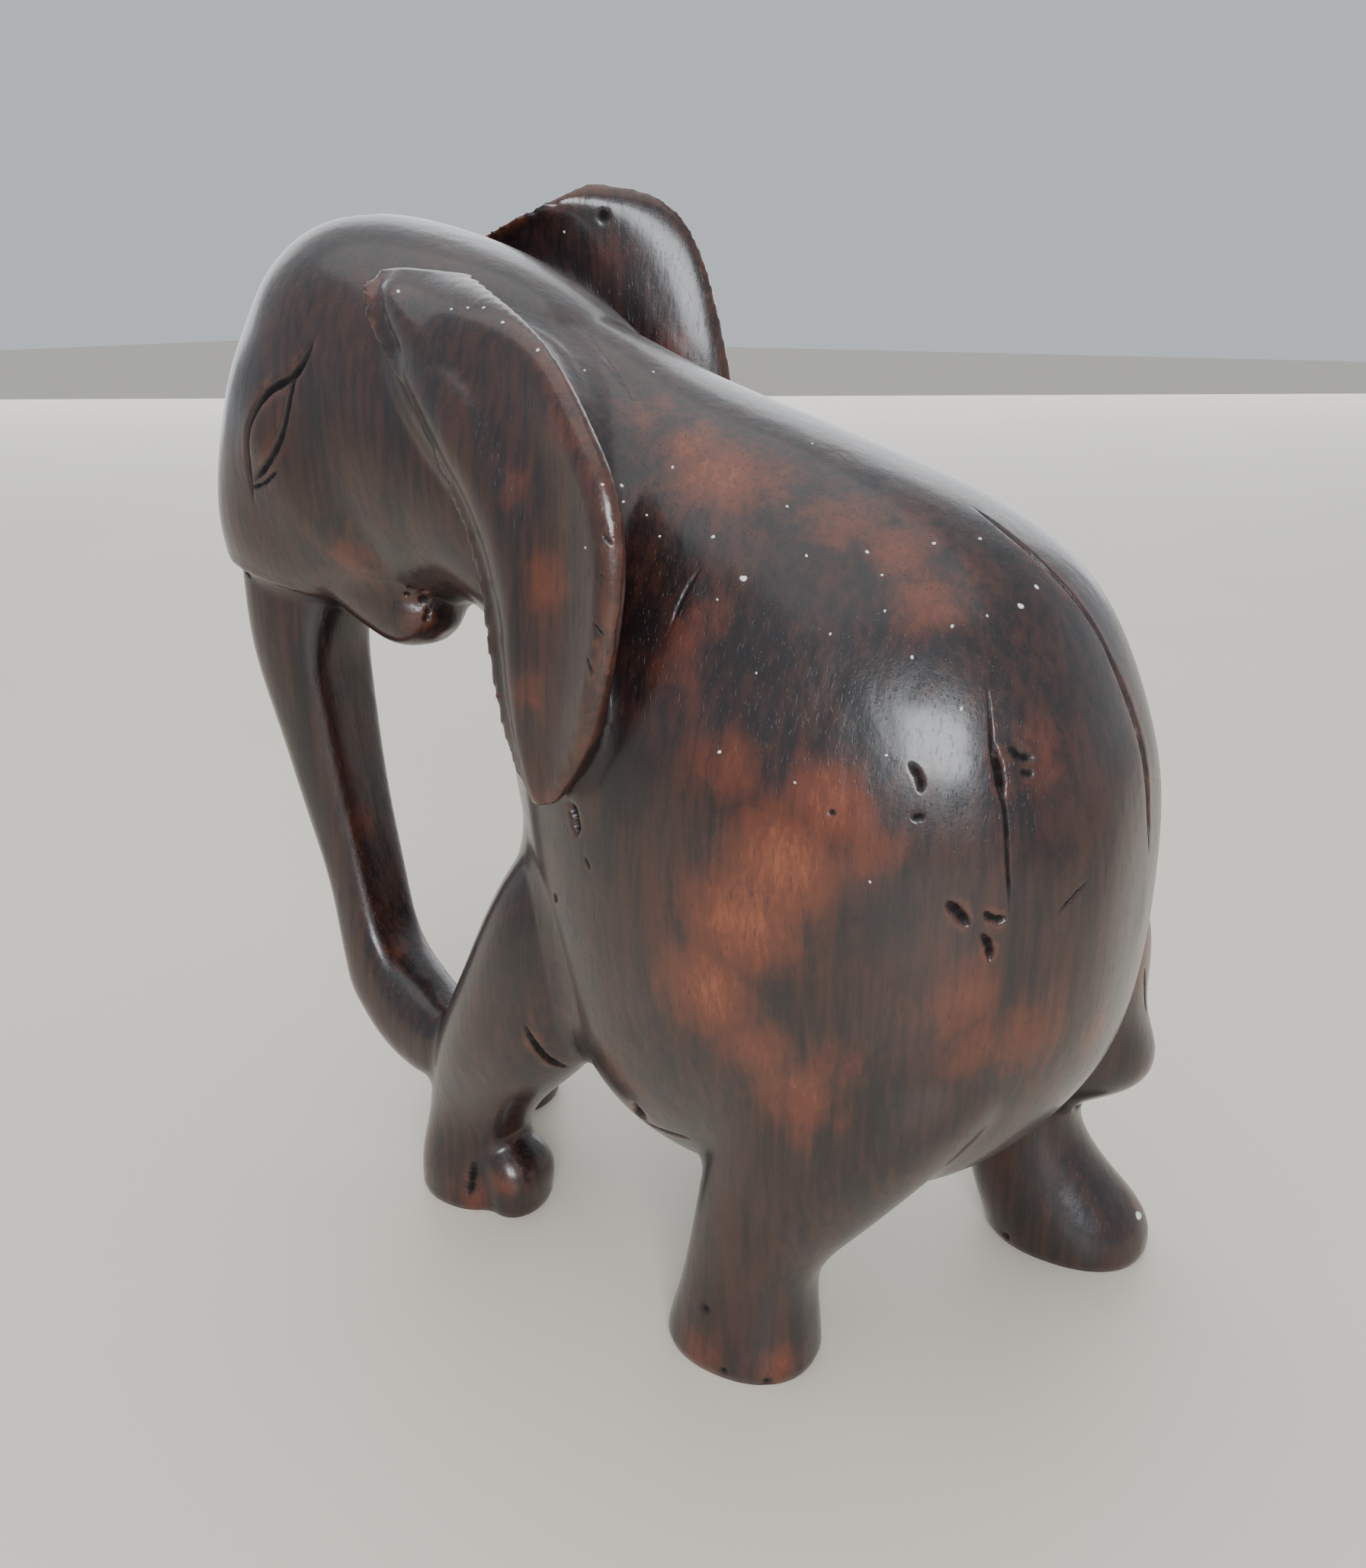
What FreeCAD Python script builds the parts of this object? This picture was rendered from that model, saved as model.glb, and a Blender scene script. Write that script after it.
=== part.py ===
"""Carved wooden elephant: a striding, head-down elephant figurine, about 0.31 m high.

The real thing is one block of wood.  It is modelled here as the regions a carver works on, each one
a closed solid that meets its neighbours face to face: torso, head, lower jaw, trunk, two ears and
four legs.  Every region is a skin drawn through rounded cross-sections.

Stations are measured in millimetres from the point on the floor midway between the hind feet:
forward (towards the head), left (the elephant's own left) and up.  In the part's frame forward is -Y,
left is +X and up is +Z, and the finished figure is centred over the origin.
"""
import FreeCAD
import Part
import math
import os

# Driving dimensions, millimetres
SCALE = 1.0                 # uniform scale of the whole figure
SOLE_HEIGHT = 0.0           # the four soles lie in this plane
RING_POINTS = 20            # control points round one cross-section
LEAF_POINTS = 16            # control points round one ear section
EAR_FRONT_THICKNESS = 8.0   # thin free edge beside the cheek
EAR_REAR_THICKNESS = 14.0   # thick ridge over the shoulder
EAR_DISH = 5.0              # depth of the hollow in an ear's outer face
SQUARENESS = 2.2            # superellipse exponent of the sections: 2 is an ellipse
POLE_MARGIN = 1.016         # the skin runs this much inside its control rings

# Torso: forward, top, bottom, half width
TORSO = [
    (-52, 150, 122, 8), (-50, 166, 108, 22), (-45, 184, 92, 36), (-34, 209, 74, 50),
    (-12, 230, 54, 62), (18, 242, 42, 67), (50, 252, 37, 66), (78, 262, 40, 61),
    (98, 270, 52, 51), (113, 276, 84, 38), (126, 279, 118, 27), (136, 276, 152, 17)]

# Head, from the neck over the crown and down to the lip:
# forward, left, up, pitch of the axis in degrees, half width, half depth
HEAD = [
    (92, 0, 214, 18, 34, 36), (110, 0, 224, 14, 43, 47), (130, 0, 234, 6, 46, 53),
    (152, 0, 242, -6, 45, 59), (172, 1, 245, -24, 43, 61), (185, 4, 232, -42, 40, 52),
    (194, 6, 218, -58, 35, 44), (201, 8, 206, -70, 29, 35), (206, 9, 196, -78, 23, 28)]

# Lower jaw, a blunt wedge hanging behind the trunk
JAW = [
    (186, 8, 210, -100, 20, 22), (174, 8, 200, -115, 15, 18), (163, 8, 191, -128, 10, 12),
    (157, 8, 187, -132, 5, 7)]

# Trunk, from the lip to the left knee
TRUNK = [
    (207, 10, 198, -84, 18, 22), (206, 11, 180, -80, 17, 20), (200, 12, 150, -78, 15, 16),
    (194, 13, 120, -78, 13, 14), (186, 15, 92, -72, 12.5, 12.5), (179, 18, 72, -62, 13, 13),
    (168, 21, 57, -45, 13, 14), (156, 23, 50, -25, 13, 14), (146, 24, 48, -20, 13, 14)]

# Legs, from inside the torso down to the flat sole
LEFT_FRONT_LEG = [
    (82, 24, 146, -70, 16, 16), (98, 26, 118, -76, 26, 25), (112, 26, 88, -84, 27, 27),
    (127, 24, 58, -88, 22, 25),
    (136, 22, 36, -90, 17, 20.5), (139, 21, 20, -90, 16, 19), (140, 21, 9, -90, 17.5, 21),
    (140, 21, 0, -90, 18, 21.5)]
RIGHT_FRONT_LEG = [
    (84, -24, 146, -62, 16, 16), (102, -26, 118, -68, 25, 25), (122, -27, 88, -78, 25, 26),
    (146, -28, 56, -86, 20, 23),
    (160, -28, 36, -90, 16, 19), (166, -28, 20, -90, 15.5, 18), (168, -28, 9, -90, 17, 20),
    (168, -28, 0, -90, 17.5, 20.5)]
LEFT_HIND_LEG = [
    (2, 18, 136, -90, 18, 24), (-1, 29, 110, -90, 29, 40), (8, 36, 80, -86, 27, 37),
    (21, 40, 52, -84, 20, 26),
    (30, 42, 30, -87, 17, 19), (32, 42, 14, -90, 17.5, 19.5), (33, 42, 0, -90, 18.5, 21)]
RIGHT_HIND_LEG = [
    (-4, -22, 150, -90, 18, 22), (-12, -32, 124, -90, 26, 34), (-16, -38, 104, -90, 25, 33),
    (-19, -42, 84, -90, 22, 31),
    (-22, -46, 64, -90, 19, 28), (-18, -48, 54, -88, 15, 19), (-17, -49, 44, -90, 14, 16),
    (-24, -51, 20, -90, 18, 23), (-31, -52, 5, -90, 20.5, 25), (-32, -52, 0, -90, 20, 24)]

# Ears, from the top to the tip.  Front edge forward, left, up; rear edge forward, left, up; fullness
LEFT_EAR = [
    (142, 40, 287, 132, 36, 288, 0.5), (143, 47, 280, 104, 54, 284, 0.8), (136, 51, 268, 83, 62, 273, 0.9),
    (121, 55, 250, 64, 68, 252, 1), (109, 58, 232, 55, 70, 236, 1), (101, 60, 212, 53, 71, 216, 1),
    (97, 62, 192, 57, 71, 194, 1), (91, 64, 172, 65, 68, 176, 0.9), (83, 66, 160, 76, 66, 162, 0.5)]
RIGHT_EAR = [
    (168, -42, 305, 146, -52, 309, 0.5), (168, -44, 297, 122, -59, 305, 0.8),
    (160, -48, 284, 109, -63, 290, 0.9), (150, -53, 264, 102, -64, 268, 1),
    (143, -55, 244, 98, -65, 248, 1), (137, -57, 226, 97, -66, 228, 1),
    (131, -58, 208, 99, -66, 208, 1), (124, -58, 188, 106, -62, 190, 0.9),
    (118, -58, 176, 113, -59, 178, 0.5)]

# Roots that join the ears to the head and shoulder: forward, left, up, half width, half depth
LEFT_EAR_ROOT = [
    (126, 30, 276, 8, 8), (114, 38, 264, 15, 13), (98, 46, 243, 17, 16), (83, 50, 215, 16, 16),
    (80, 52, 188, 14, 14), (80, 56, 168, 9, 7)]
RIGHT_EAR_ROOT = [
    (146, -34, 284, 11, 8), (140, -38, 270, 16, 12), (130, -42, 250, 18, 15), (120, -44, 225, 18, 14),
    (114, -44, 200, 18, 10), (112, -46, 184, 14, 6)]


def vector(forward, left, up):
    """A point or direction of the part's frame from forward, left and up."""
    return FreeCAD.Vector(left, -forward, up)


def section(forward, left, up, pitch, half_width, half_depth):
    """A superellipse: half_width across, half_depth square to the axis pitched that many degrees."""
    tilt = math.radians(pitch)
    centre = vector(forward, left, up)
    across = vector(0, 1, 0)
    upright = vector(-math.sin(tilt), 0, math.cos(tilt))
    points = []
    for k in range(RING_POINTS):
        angle = 2 * math.pi * k / RING_POINTS
        c, s = math.cos(angle), math.sin(angle)
        x = math.copysign(abs(c) ** (2 / SQUARENESS), c) * half_width * POLE_MARGIN
        y = math.copysign(abs(s) ** (2 / SQUARENESS), s) * half_depth * POLE_MARGIN
        points.append(centre + across * x + upright * y)
    return points


def leaf_section(front, rear, fullness, outward):
    """One slice of an ear: thin at the front edge, a ridge at the rear, the outer face dished."""
    chord = rear - front
    length = chord.Length
    along = chord / length
    normal = along.cross(FreeCAD.Vector(0, 0, 1))
    normal.normalize()
    if normal.x * outward < 0:
        normal = -normal
    points = []
    for k in range(LEAF_POINTS):
        angle = 2 * math.pi * k / LEAF_POINTS
        share = (1 - math.cos(angle)) / 2
        growth = (EAR_REAR_THICKNESS - EAR_FRONT_THICKNESS) * share ** 1.5
        half = (EAR_FRONT_THICKNESS + growth) / 2 * fullness
        dish = 4 * EAR_DISH * share * (1 - share) * min(1, length / 60)
        points.append(front + along * (share * length) + normal * (math.sin(angle) * half - dish))
    return points


def skin(rings):
    """A closed solid whose side is one cubic surface over the rings, with flat ends."""
    rows, columns = len(rings), len(rings[0])
    surface = Part.BSplineSurface()
    surface.buildFromPolesMultsKnots(
        rings, [4] + [1] * (rows - 4) + [4], [1] * (columns + 1),
        list(range(rows - 2)), list(range(columns + 1)), False, True, 3, 3)
    side = surface.toShape()
    rims = [edge for edge in side.Edges if edge.isClosed()]
    caps = [Part.Face(Part.Wire([edge])) for edge in rims]
    solid = Part.Solid(Part.Shell([side] + caps))
    solid.fix(1e-4, 1e-4, 1e-3)
    if solid.Volume < 0:
        solid.reverse()
    return solid


def limb(stations):
    """A solid of superellipse sections: head, jaw, trunk or leg."""
    return skin([section(*station) for station in stations])


def torso():
    """The egg-shaped barrel, shoulders to rump."""
    rows = [(forward, 0, (top + bottom) / 2, 0, half_width, (top - bottom) / 2)
            for forward, top, bottom, half_width in TORSO]
    return limb(rows)


def ear(rows, root_rows, outward):
    """A leaf and the root that holds it to the head and shoulder, as one solid."""
    slices = [leaf_section(vector(*row[0:3]), vector(*row[3:6]), row[6], outward) for row in rows]
    root = limb([(f, l, u, -90, w, d) for f, l, u, w, d in root_rows])
    return skin(slices).fuse(root).removeSplitter()


def flat_soled(leg):
    """The leg above the floor, so that its sole is flat."""
    slab = Part.makeBox(600, 600, 400, FreeCAD.Vector(-300, -400, SOLE_HEIGHT))
    return leg.common(slab)


def carved_from(solid, *neighbours):
    """What is left of a solid beside its neighbours: its largest piece."""
    for neighbour in neighbours:
        solid = solid.cut(neighbour)
    return max(solid.Solids, key=lambda piece: piece.Volume)


def build():
    """Every region by name, meeting its neighbours face to face."""
    nodes = {"torso": torso()}
    nodes["head"] = carved_from(limb(HEAD), nodes["torso"])
    for name, rows in (("left_front_leg", LEFT_FRONT_LEG), ("right_front_leg", RIGHT_FRONT_LEG),
                       ("left_hind_leg", LEFT_HIND_LEG), ("right_hind_leg", RIGHT_HIND_LEG)):
        earlier = [nodes[other] for other in nodes if other.endswith("leg")]
        nodes[name] = carved_from(flat_soled(limb(rows)), nodes["torso"], *earlier)
    nodes["trunk"] = carved_from(limb(TRUNK), nodes["head"], nodes["left_front_leg"], nodes["torso"])
    nodes["lower_jaw"] = carved_from(limb(JAW), nodes["head"], nodes["trunk"])
    nodes["left_ear"] = carved_from(ear(LEFT_EAR, LEFT_EAR_ROOT, 1), nodes["torso"], nodes["head"])
    nodes["right_ear"] = carved_from(ear(RIGHT_EAR, RIGHT_EAR_ROOT, -1), nodes["torso"], nodes["head"])
    return nodes


def centred(nodes):
    """The nodes scaled and moved so that their common box stands centred on the origin."""
    box = FreeCAD.BoundBox()
    for solid in nodes.values():
        box.add(solid.optimalBoundingBox(True, False))
    shift = FreeCAD.Vector(-box.Center.x, -box.Center.y, -SOLE_HEIGHT)
    print("shift", shift, "size", box.XLength, box.YLength, box.ZLength)
    for solid in nodes.values():
        solid.translate(shift)
        if SCALE != 1.0:
            solid.scale(SCALE)
    return nodes


os.makedirs("parts", exist_ok=True)
for name, solid in centred(build()).items():
    print(name, solid.ShapeType, round(solid.Volume / 1000, 1), "cm3", solid.isValid())
    solid.exportStep("parts/" + name + ".step")
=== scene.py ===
"""The looks of the carved wooden elephant, laid out as a Blender add-on and run as a script.

Every region of the figure is first a closed surface worked out with numpy.  The regions are then
joined into one block by a voxel remesh, their joins are worked into soft hollows, the eyes, drying
checks, knots and chips are cut, and the block is shared out again into one piece for each region.
"""

import bmesh
import bpy
import numpy as np
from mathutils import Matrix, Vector, kdtree
from mathutils.bvhtree import BVHTree


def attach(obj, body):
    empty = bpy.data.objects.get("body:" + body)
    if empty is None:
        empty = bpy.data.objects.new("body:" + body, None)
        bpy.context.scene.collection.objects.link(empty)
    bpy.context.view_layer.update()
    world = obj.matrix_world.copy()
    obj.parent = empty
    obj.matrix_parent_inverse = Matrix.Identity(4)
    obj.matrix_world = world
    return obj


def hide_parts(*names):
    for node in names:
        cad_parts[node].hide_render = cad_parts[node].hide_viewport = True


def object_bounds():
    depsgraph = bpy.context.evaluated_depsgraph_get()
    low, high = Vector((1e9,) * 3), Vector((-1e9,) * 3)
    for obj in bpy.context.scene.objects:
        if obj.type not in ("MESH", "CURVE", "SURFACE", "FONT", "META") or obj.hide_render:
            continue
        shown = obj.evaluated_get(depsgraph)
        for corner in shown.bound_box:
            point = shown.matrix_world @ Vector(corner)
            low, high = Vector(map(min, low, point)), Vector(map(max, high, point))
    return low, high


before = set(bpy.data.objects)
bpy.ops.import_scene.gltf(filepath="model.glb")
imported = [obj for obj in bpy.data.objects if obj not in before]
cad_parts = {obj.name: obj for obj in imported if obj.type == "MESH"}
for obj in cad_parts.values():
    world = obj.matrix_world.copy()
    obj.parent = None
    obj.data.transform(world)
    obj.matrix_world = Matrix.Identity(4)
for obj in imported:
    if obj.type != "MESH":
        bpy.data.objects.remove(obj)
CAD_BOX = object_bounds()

bl_info = {
    "name": "Carved Wooden Elephant",
    "version": (1, 0, 0),
    "blender": (4, 5, 0),
    "location": "3D View > Sidebar > Elephant",
    "description": "Makes the waxed, hand-carved elephant round its packed frame",
    "category": "Add Mesh",
}

MM = 0.001
REST = "root"                       # the figure is one rigid body
BOX_MARGIN = 0.03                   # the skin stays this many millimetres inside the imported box
# The forms below are drawn in millimetres forward, left and up from the point on the floor midway
# between the hind feet, which lies here in the frame.
ORIGIN_Y = 88.75 * MM
ORIGIN_X = -0.064 * MM


# ------------------------------------------------------------------ surfaces

def spline(knots, rows, at):
    """Natural cubic spline through the rows of a table, at the given knot values.

    Solves the usual tridiagonal system for the second derivatives, then sums each span's cubic.
    """
    knots = np.asarray(knots, float)
    rows = np.asarray(rows, float)
    gaps = np.diff(knots)
    count = len(knots)
    system = np.eye(count)
    right = np.zeros_like(rows)
    for k in range(1, count - 1):
        system[k, k - 1:k + 2] = gaps[k - 1], 2 * (gaps[k - 1] + gaps[k]), gaps[k]
        right[k] = 6 * ((rows[k + 1] - rows[k]) / gaps[k] - (rows[k] - rows[k - 1]) / gaps[k - 1])
    bend = np.linalg.solve(system, right)
    span = np.clip(np.searchsorted(knots, at, side="right") - 1, 0, count - 2)
    gap = gaps[span][:, None]
    low = (at - knots[span])[:, None]
    high = gap - low
    return (bend[span] * high ** 3 + bend[span + 1] * low ** 3) / (6 * gap) + (
        (rows[span] / gap - bend[span] * gap / 6) * high
        + (rows[span + 1] / gap - bend[span + 1] * gap / 6) * low)


def station_knots(rows, turn=0.35):
    """Knot values that grow with the distance between stations, plus a share of their turn and swell."""
    rows = np.asarray(rows, float)
    step = np.linalg.norm(np.diff(rows[:, :3], axis=0), axis=1)
    step = step + turn * np.abs(np.diff(rows[:, 3])) + turn * np.abs(np.diff(rows[:, 4]))
    return np.concatenate([[0.0], np.cumsum(step)])


def power(value, exponent):
    """A signed power, for superellipses."""
    return np.sign(value) * np.abs(value) ** exponent


def limb(rows, along=120, around=160, square=2.2, shape=None):
    """A closed skin of superellipse sections along a bending axis.

    Point(t, a) = centre(t) + left * width(t) * c(a) + upright(t) * depth(t) * s(a), where c and s are
    the signed powers 2 / square of cosine and sine, and upright is square to the axis's pitch.
    The optional shape function may move points across and upright before they are placed.
    """
    knots = station_knots(rows)
    spots = spline(knots, rows, np.linspace(0, knots[-1], along))
    angle = np.linspace(0, 2 * np.pi, around, endpoint=False)[None, :]
    width = np.maximum(spots[:, 4:5], 0.3)
    depth = np.maximum(spots[:, 5:6], 0.3)
    across = power(np.cos(angle), 2 / square) * width
    upright = power(np.sin(angle), 2 / square) * depth
    if shape is not None:
        share = np.linspace(0, 1, along)[:, None]
        across, upright = shape(share, angle, across, upright)
    tilt = np.radians(spots[:, 3:4])
    grid = np.empty((along, around, 3))
    grid[..., 0] = spots[:, 0:1] - np.sin(tilt) * upright
    grid[..., 1] = spots[:, 1:2] + across
    grid[..., 2] = spots[:, 2:3] + np.cos(tilt) * upright
    return grid


def closed(grid):
    """Vertices and quads of a grid that closes round its second parameter, with a fan at each end."""
    rows, columns = grid.shape[:2]
    index = np.arange(rows * columns).reshape(rows, columns)
    here = index[:-1]
    nxt = np.roll(index, -1, axis=1)
    quads = np.stack([here, nxt[:-1], nxt[1:], index[1:]], -1).reshape(-1, 4)
    middle = np.array([grid[0].mean(0), grid[-1].mean(0)])
    first, last = rows * columns, rows * columns + 1
    fans = [[first, nxt[0, k], index[0, k]] for k in range(columns)]
    fans += [[last, index[-1, k], nxt[-1, k]] for k in range(columns)]
    return np.vstack([grid.reshape(-1, 3), middle]), quads, np.array(fans)


def bell(x, centre, width):
    """A bell curve of height 1."""
    return np.exp(-((x - centre) / width) ** 2)


def ramp(x, start, end):
    """0 before start, 1 after end, smooth between them."""
    t = np.clip((x - start) / (end - start), 0, 1)
    return t * t * (3 - 2 * t)


# ------------------------------------------------------------------ the figure's forms

# forward, top, bottom, half width
TORSO = [
    (-52.5, 138, 134, 1), (-50.5, 166, 107, 22), (-45, 186, 90, 37), (-33, 210, 72, 51),
    (-10, 230, 52, 63), (20, 242, 41, 68), (50, 252, 37, 67), (76, 261, 41, 61),
    (94, 269, 54, 51), (108, 275, 86, 39), (120, 278, 118, 28), (130, 275, 150, 18)]
# forward, left, up, pitch, half width, half depth
HEAD = [
    (92, 0, 216, 18, 34, 34), (110, 0, 228, 14, 43, 43), (130, 0, 240, 6, 46, 47),
    (152, 0, 245, -6, 45, 53), (171, 1, 244, -24, 42.5, 57.5), (183, 4, 232, -42, 39.5, 50),
    (192, 6, 218, -58, 34.5, 42.5), (200, 8, 206, -70, 29, 34), (204, 9, 198, -78, 24, 28)]
JAW = [
    (184, 8, 214, -100, 24, 26), (172, 10, 201, -115, 21, 20), (161, 12, 191, -128, 16, 14),
    (154, 13, 186, -132, 10.5, 9), (151, 13, 184, -132, 4, 4)]
TRUNK = [
    (208, 10, 208, -93, 17, 20), (208, 10, 193, -95, 17, 20), (207, 11, 177, -98, 16.5, 19),
    (202, 12, 150, -100, 15, 15.5), (196, 13, 124, -103, 13.5, 13), (188, 15, 97, -107, 12.5, 11.5),
    (181, 18, 76, -118, 12.5, 13), (172, 20, 63, -133, 13, 14.5), (160, 22, 55, -152, 13, 14.5),
    (146, 24, 52, -168, 12, 13), (134, 24, 50, -172, 10, 11)]
LEFT_FRONT_LEG = [
    (80, 24, 146, -66, 16, 16), (94, 26, 118, -72, 25, 23), (108, 26, 88, -80, 26, 25),
    (125, 24, 58, -86, 21.5, 24), (137, 22, 38, -90, 16.5, 19), (142, 21, 26, -90, 15.5, 17),
    (144, 21, 12, -90, 17, 18), (144, 21, 2, -90, 17.5, 18.5), (144, 21, -6, -90, 17.5, 18.5)]
LEFT_FRONT_HEEL = [
    (131, 22, 26, -90, 3, 3), (129, 23, 21, -90, 9, 7.5), (126, 23, 13, -90, 12.5, 10),
    (126, 23, 4, -90, 12, 9.5), (126, 23, -6, -90, 11.5, 9)]
RIGHT_FRONT_LEG = [
    (84, -24, 146, -62, 16, 16), (102, -26, 118, -68, 25, 24), (123, -27, 88, -78, 25, 24),
    (149, -28, 56, -86, 20, 20), (163, -28, 36, -90, 16, 17), (168, -28, 20, -90, 15.5, 17),
    (169, -28, 9, -90, 17, 19), (169, -28, 0, -90, 17.5, 19.5), (169, -28, -6, -90, 17.5, 19.5)]
LEFT_HIND_LEG = [
    (2, 18, 136, -90, 18, 24), (1, 29, 110, -90, 28, 38), (11, 36, 80, -86, 26, 33),
    (23, 40, 52, -84, 19.5, 23.5), (31, 42, 30, -87, 17, 18.5), (33, 42, 14, -90, 17.5, 20),
    (34, 42, 1, -90, 18.5, 22), (34, 42, -6, -90, 18.5, 22)]
RIGHT_HIND_LEG = [
    (-4, -22, 150, -90, 18, 22), (-12, -32, 124, -90, 26, 34), (-16, -38, 104, -90, 25, 33),
    (-19, -42, 84, -90, 22, 31), (-22, -46, 64, -90, 19, 28), (-18, -48, 54, -88, 15, 19),
    (-17, -49, 44, -90, 14, 16), (-24, -51, 20, -90, 18, 23), (-31, -52, 6, -90, 20.5, 25.5),
    (-32, -52, 0, -90, 20, 24.5), (-32, -52, -6, -90, 20, 24)]
# front edge forward, left, up; rear edge forward, left, up; fullness
LEFT_EAR = [
    (142, 40, 286, 122, 30, 284, 0.8), (143, 47, 280, 100, 46, 277, 0.9), (136, 51, 268, 80, 57, 267, 1),
    (121, 55, 250, 64, 65, 251, 1), (109, 58, 232, 55, 69, 236, 1), (101, 60, 212, 53, 71, 216, 1),
    (97, 62, 192, 57, 71, 194, 1), (91, 64, 172, 65, 68, 176, 0.9), (83, 66, 160, 76, 66, 162, 0.5)]
RIGHT_EAR = [
    (180, -30, 289, 138, -50, 310, 0.8), (184, -36, 287, 120, -59, 306, 0.9),
    (177, -44, 279, 108, -63, 292, 0.9), (165, -50, 262, 101, -64, 270, 1),
    (154, -54, 244, 97, -65, 250, 1), (146, -56, 226, 96, -66, 228, 1),
    (138, -58, 208, 99, -66, 208, 1), (129, -58, 188, 106, -62, 190, 0.9),
    (119, -58, 174, 113, -59, 176, 0.5)]
LEFT_EAR_ROOT = [
    (132, 24, 276, -90, 14, 12), (120, 33, 268, -90, 20, 19), (102, 42, 250, -90, 21, 21),
    (86, 49, 222, -90, 17, 17), (82, 52, 192, -90, 14, 14), (81, 56, 170, -90, 9, 7)]
RIGHT_EAR_ROOT = [
    (158, -28, 284, -90, 14, 10), (150, -36, 272, -90, 18, 16), (138, -41, 250, -90, 19, 18),
    (126, -44, 225, -90, 18, 16), (117, -45, 200, -90, 17, 11), (113, -47, 184, -90, 13, 6)]


def ear_leaf(rows, outward, along=110, around=150):
    """An ear: slices from a thin front edge to a rear ridge, closed round the slice.

    Point(t, a) = front(t) + chord(t) * u(a) + normal(t) * (sin(a) * half(u) + relief(u, t)), where
    u = (1 - cos a) / 2 runs from the front edge to the rear one, half swells towards the rear, and
    relief gives the outer face its rolled rim, the groove behind it, a hollow and a ridge.
    """
    knots = np.arange(len(rows), dtype=float)
    spots = spline(knots, rows, np.linspace(0, knots[-1], along))
    front, rear, full = spots[:, 0:3], spots[:, 3:6], spots[:, 6:7]
    chord = rear - front
    length = np.linalg.norm(chord, axis=1, keepdims=True)
    unit = chord / length
    normal = np.cross(unit, [0.0, 0.0, 1.0])
    normal /= np.linalg.norm(normal, axis=1, keepdims=True)
    normal *= np.sign(normal[:, 1:2]) * outward
    angle = np.linspace(0, 2 * np.pi, around, endpoint=False)[None, :]
    u = (1 - np.cos(angle)) / 2
    t = np.linspace(0, 1, along)[:, None]
    half = (5.2 + 7.8 * u ** 1.1) / 2 * full
    body = np.minimum(1, length / 45)
    outer = np.clip(np.sin(angle), 0, 1) ** 0.5
    grooved = 1 - 0.6 * ramp(t, 0.55, 0.9)
    relief = (-3.0 * 4 * u * (1 - u) * body
              + outer * body * (0.9 * bell(u, 0.02, 0.03)
                                - 2.0 * grooved * bell(u, 0.10, 0.05)
                                + 2.4 * bell(u, 0.27, 0.13)
                                - 1.4 * bell(u, 0.64, 0.15) * ramp(t, 0.2, 0.4)
                                + 1.8 * bell(u, 0.93, 0.08) * ramp(t, 0.25, 0.45)))
    offset = np.sin(angle) * half + relief
    grid = (front[:, None, :] + unit[:, None, :] * (u * length)[..., None]
            + normal[:, None, :] * offset[..., None])
    return grid if outward > 0 else grid[:, ::-1]


def trunk_profile(share, angle, across, upright):
    """The trunk's rear face is cut flat and a little hollow, which leaves a crease on each side."""
    rear = np.clip(-np.sin(angle), 0, 1)
    cut = ramp(share, 0.05, 0.2) * (1 - ramp(share, 0.6, 0.78))
    return across, upright * (1 - 0.30 * cut * rear ** 2)


def torso_form():
    rows = [(f, 0, (top + low) / 2, 0, wide, (top - low) / 2) for f, top, low, wide in TORSO]
    return limb(rows, along=200, around=256)


def forms():
    """Every region's closed surface by the name of its node; the ears' roots go with their ears."""
    return {
        "torso": [torso_form()],
        "head": [limb(HEAD, along=140, around=200)],
        "lower_jaw": [limb(JAW, along=60, around=90)],
        "trunk": [limb(TRUNK, along=160, around=110, square=2.4, shape=trunk_profile)],
        "left_front_leg": [limb(LEFT_FRONT_LEG), limb(LEFT_FRONT_HEEL, along=60, around=80)],
        "right_front_leg": [limb(RIGHT_FRONT_LEG)],
        "left_hind_leg": [limb(LEFT_HIND_LEG)],
        "right_hind_leg": [limb(RIGHT_HIND_LEG)],
        "left_ear": [ear_leaf(LEFT_EAR, 1), limb(LEFT_EAR_ROOT, along=80, around=80)],
        "right_ear": [ear_leaf(RIGHT_EAR, -1), limb(RIGHT_EAR_ROOT, along=80, around=80)],
    }


# ------------------------------------------------------------------ one block

def place(points):
    """Metres in the frame from millimetres forward, left and up."""
    points = np.asarray(points, float)
    return np.stack([points[..., 1] * MM + ORIGIN_X, ORIGIN_Y - points[..., 0] * MM,
                     points[..., 2] * MM], -1)


def unplace(points):
    """Millimetres forward, left and up from metres in the frame."""
    return np.stack([(ORIGIN_Y - points[:, 1]) / MM, (points[:, 0] - ORIGIN_X) / MM,
                     points[:, 2] / MM], -1)


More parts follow.
